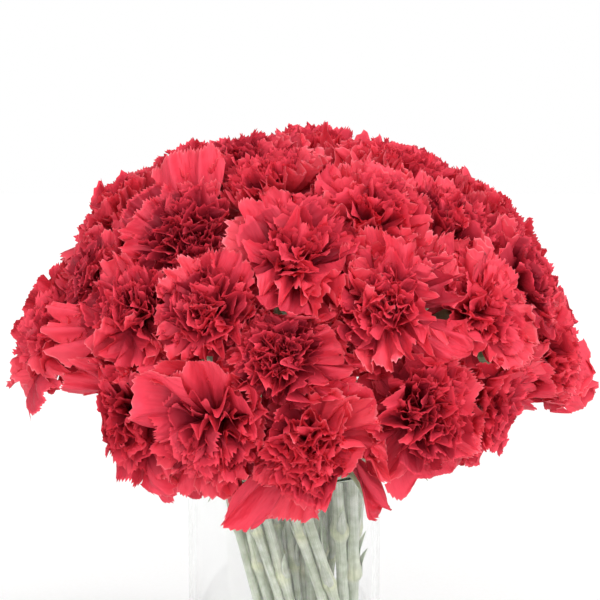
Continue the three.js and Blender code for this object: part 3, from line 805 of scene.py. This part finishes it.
def strip(spine):  # a thin keeled blade: point, way across, way up, half width and keel at each step
    points, faces = [], []
    for at, across, lift, half, fold in spine:
        for x, z in ((-half, fold), (0, 0), (half, fold), (half, fold - 0.35), (0, -0.5), (-half, fold - 0.35)):
            points.append(at + across * x + lift * z)
    steps = len(spine) - 1
    for k in range(steps):
        for c in range(6):
            d = (c + 1) % 6
            faces.append((k * 6 + c, (k + 1) * 6 + c, (k + 1) * 6 + d, k * 6 + d))
    faces.append(tuple(range(6)))
    faces.append(tuple(steps * 6 + c for c in range(5, -1, -1)))
    return np.array(points), faces


def leafStub(flower, route, radius, level, which):
    n = flower["number"]
    side = around(360 * draw(n, 17) + 180 * which)
    length = between(stub["length"], draw(n, 18, which))
    wallAt = vase["radius"] - vase["wall"] - stub["fromWall"]
    route, radius = route[:stem["rows"][0]], radius[:stem["rows"][0]]
    spine = []
    for t in np.linspace(0, 1, 10):
        z = level + length * t
        at = np.array([np.interp(z, route[:, 2], route[:, k]) for k in range(3)])
        at = at + side * (np.interp(z, route[:, 2], radius) + 0.1 + stub["open"] * t ** 2)
        at[:2] *= min(1, wallAt / math.hypot(at[0], at[1]))
        half = 0.5 * stub["width"] * min(1, 0.55 + 3 * t) * (1 - t ** 2.5) + 0.05
        spine.append((at, np.cross(side, up), -side, half, stub["keel"] * (1 - t) * 2 * half / stub["width"]))
    return strip(spine)


def leafBlade(flower):
    root = placeAt(flower["place"], bundle["rim"])
    root[2] = bundle["rim"]["z"]
    out = around(flower["azimuth"])
    across = around(flower["azimuth"] + 90)
    a, b = root, root + out * 0.5 * leaf["length"] + up * 2 * leaf["rise"]
    c = root + out * 0.9 * leaf["length"] - up * leaf["drop"]
    spine = []
    for t in np.linspace(0, 1, 19):
        at = a * (1 - t) ** 2 + 2 * b * t * (1 - t) + c * t ** 2
        way = unit((b - a) * (1 - t) + (c - b) * t)
        half = 0.5 * leaf["width"] * (1 - 0.98 * t ** 2.2)
        spine.append((at, across, np.cross(across, way), half, leaf["keel"] * half / (0.5 * leaf["width"])))
    return strip(spine)


def makeStems(number, members):
    points, faces, tones, uvs = [], [], [], []
    start = 0

    def add(p, f, tone, uv):
        nonlocal start
        points.append(p)
        faces.extend(tuple(start + i for i in face) for face in f)
        tones.append(tone)
        uvs.append(uv)
        start += len(p)

    for flower in members:
        route, radius, share, joints = stemRoute(flower)
        sides = stem["sides"]
        high = np.clip((route[:, 2] - vase["height"]) / 40, 0, 1)  # greener towards the calyx
        along = np.concatenate([[0], np.cumsum(np.linalg.norm(np.diff(route, axis=0), axis=1))])
        p, f = tube(route, radius, sides)
        uv = np.stack([np.tile(np.arange(sides) * 1.3, len(route)), np.repeat(along, sides)], axis=1)
        add(p, f, np.repeat(0.5 - 0.4 * high + 0.4 * share, sides), uv + 50 * flower["number"])
        p, f = calyxShell(flower)
        sides = calyx["sides"]
        rows = len(p) // sides
        uv = np.stack([np.tile(np.arange(sides) * 1.4, rows), np.repeat(np.arange(rows) * 4.0, sides)], axis=1)
        add(p, f, np.full(len(p), 0.05), uv + 50 * flower["number"])
        blades = [(stub["tone"], leafStub(flower, route, radius, joints[0], which)) for which in (0, 1)]
        if flower["number"] in leaf["flowers"]:
            blades.append((leaf["tone"], leafBlade(flower)))
        for tone, (p, f) in blades:
            rows = len(p) // 6
            uv = np.stack([np.tile([0, 2.5, 5, 5, 2.5, 0], rows), np.repeat(np.arange(rows) * 4.0, 6)], axis=1)
            add(p, f, np.full(len(p), tone), uv + 50 * flower["number"])
    return newPiece("stemsAndCalyxes_%02d" % number, np.concatenate(points), faces, stemGreen,
                    ["stems_%02d" % number], np.concatenate(tones), np.concatenate(uvs), "stem")


print("stems")
clusters = sorted({flower["place"]["cluster"] for flower in carnations})
for k, cluster in enumerate(clusters):
    makeStems(k + 1, [f for f in carnations if f["place"]["cluster"] == cluster])


def turnedPiece(name, profile, sides, material, node):
    a = 2 * math.pi * np.arange(sides) / sides
    points, rows, faces = [], [], []
    for radius, z in profile:
        if radius == 0:
            rows.append([len(points)])
            points.append((0, 0, z))
        else:
            rows.append(list(range(len(points), len(points) + sides)))
            points += [(radius * math.cos(t), radius * math.sin(t), z) for t in a]
    for low, high in zip(rows, rows[1:]):
        for c in range(sides):
            d = (c + 1) % sides
            if len(low) == 1:
                faces.append((low[0], high[d], high[c]))
            elif len(high) == 1:
                faces.append((low[c], low[d], high[0]))
            else:
                faces.append((low[c], low[d], high[d], high[c]))
    return newPiece(name, points, faces, material, [node])


def corner(centre, radius, start, end, steps):  # an arc of a profile, angles in degrees
    angles = np.radians(np.linspace(start, end, steps))
    return [(centre[0] + radius * math.cos(t), centre[1] + radius * math.sin(t)) for t in angles]


def vaseProfile():
    outer = vase["radius"]
    inner = outer - vase["wall"]
    foot = vase["footRound"]
    heel = vase["heelRound"]
    lip = vase["rimRound"]
    profile = [(0, 0), (outer * 0.5, 0), (outer - foot - 1, 0)]
    arc = vase["arcSteps"]
    top = vase["height"] - lip
    profile += corner((outer - foot, foot), foot, -90, 0, arc)
    profile += [(outer, z) for z in np.linspace(20, top - 6, vase["wallRows"])]
    profile += corner((outer - lip, top), lip, 0, 90, arc)
    profile += corner((inner + lip, top), lip, 90, 180, arc)
    profile += [(inner, z) for z in np.linspace(top - 6, 30, vase["wallRows"])]
    profile += corner((inner - heel, vase["base"] + heel), heel, 0, -90, arc)
    profile += [(inner * 0.5, vase["base"]), (0, vase["base"])]
    return profile


def waterProfile():
    radius = vase["radius"] - vase["wall"] + water["into"]
    heel = vase["heelRound"]
    foot = vase["base"] - water["into"]
    profile = [(0, foot), (radius * 0.5, foot)]
    profile += corner((radius - heel, foot + heel), heel, -90, 0, vase["arcSteps"])
    level, climb, fall = water["level"], water["meniscus"], water["meniscusFall"]
    profile += [(radius, z) for z in (*water["rows"], level + climb)]
    profile += [(radius - d, level + climb * math.exp(-d / fall)) for d in (0.4, 0.9, 1.6, 2.6, 4.0, 6.0)]
    profile += [(radius * 0.5, level), (0, level)]
    return profile


print("vase and water")
turnedPiece("glassCylinder", vaseProfile(), vase["sides"], clearGlass, "vase")
turnedPiece("vaseWater", waterProfile(), water["sides"], clearWater, "water")


# A white room with one soft lamp far off to the right. The eye sees evenly bright walls, also through the
# glass. The flowers and reflections get less light from the walls, and more from a soft light in front.
studio = {
    "floorSize": 12, "floorDrop": 0.3,
    "room": "#ffffff", "roomSeen": 1.0, "roomFill": 0.42, "inVase": 3.0,
    "front": 2.8, "frontWay": (0.05, -0.98, -0.2), "frontEdge": (0.1, 0.95),
    "lampAt": (0.66, -0.42, 1.25), "lampStrength": 1.6, "lampSoftness": 30,
}

mesh = bpy.data.meshes.new("floor")
edge = studio["floorSize"] / 2
low = -studio["floorDrop"] * mm  # a hair below the vase's foot, so that light gets in under the glass
mesh.from_pydata([(-edge, -edge, low), (edge, -edge, low), (edge, edge, low), (-edge, edge, low)], [], [(0, 1, 2, 3)])
mesh.materials.append(floorMaterial())
floor = bpy.data.objects.new("floor", mesh)
scene.collection.objects.link(floor)

world = bpy.data.worlds.new("studio")
world.use_nodes = True
world.node_tree.nodes["Background"].inputs["Color"].default_value = linear(studio["room"])
tree = world.node_tree
path = addNode(tree, "ShaderNodeLightPath")
way = addNode(tree, "ShaderNodeTexCoord")
facing = addNode(tree, "ShaderNodeVectorMath", {"operation": "DOT_PRODUCT", 1: studio["frontWay"]},
                 {0: way.outputs["Generated"]})
softBox = addNode(tree, "ShaderNodeMapRange", {
    "interpolation_type": "SMOOTHSTEP", "From Min": studio["frontEdge"][0], "From Max": studio["frontEdge"][1],
    "To Min": studio["roomFill"], "To Max": studio["front"]}, {"Value": facing.outputs["Value"]})
mirrored = addNode(tree, "ShaderNodeMath", {"operation": "SUBTRACT", "use_clamp": True},
                   {0: path.outputs["Is Glossy Ray"], 1: path.outputs["Is Transmission Ray"]})
bounced = addNode(tree, "ShaderNodeMath", {"operation": "MAXIMUM"},
                  {0: path.outputs["Is Diffuse Ray"], 1: mirrored.outputs["Value"]})
plain = addNode(tree, "ShaderNodeMapRange", {"To Min": studio["roomSeen"]},
                {"Value": bounced.outputs["Value"], "To Max": softBox.outputs["Result"]})
# the glass keeps the lamp's light from the stems, so they take more from the walls
refracted = addNode(tree, "ShaderNodeMath", {"operation": "SUBTRACT", "use_clamp": True},
                    {0: path.outputs["Is Transmission Ray"], 1: path.outputs["Is Diffuse Ray"]})
inside = addNode(tree, "ShaderNodeMath", {"operation": "MULTIPLY", "use_clamp": True},
                 {0: refracted.outputs["Value"], 1: path.outputs["Diffuse Depth"]})
fill = addNode(tree, "ShaderNodeMapRange", {"To Max": studio["inVase"]},
               {"Value": inside.outputs["Value"], "To Min": plain.outputs["Result"]})
tree.links.new(fill.outputs["Result"], tree.nodes["Background"].inputs["Strength"])
scene.world = world

light = bpy.data.lights.new("lamp", "SUN")
light.energy = studio["lampStrength"]
light.angle = math.radians(studio["lampSoftness"])
lamp = bpy.data.objects.new("lamp", light)
lamp.location = studio["lampAt"]
aim = -np.array(studio["lampAt"])
lamp.rotation_euler = (math.atan2(math.hypot(aim[0], aim[1]), -aim[2]), 0, math.atan2(aim[1], aim[0]) - math.pi / 2)
scene.collection.objects.link(lamp)

# The camera stands in front, level with the dome's top, and looks a little down.
view = {"at": (0.009, -0.722, 0.393), "pitch": 8, "lens": 78, "sensor": 36}
camera = bpy.data.cameras.new("camera")
camera.lens = view["lens"]
camera.sensor_width = view["sensor"]
cameraObject = bpy.data.objects.new("camera", camera)
cameraObject.location = view["at"]
cameraObject.rotation_euler = (math.radians(90 - view["pitch"]), 0, 0)
scene.collection.objects.link(cameraObject)
scene.camera = cameraObject

faceCount = sum(len(o.data.polygons) for o in scene.objects if o.type == "MESH")
print("faces", faceCount)
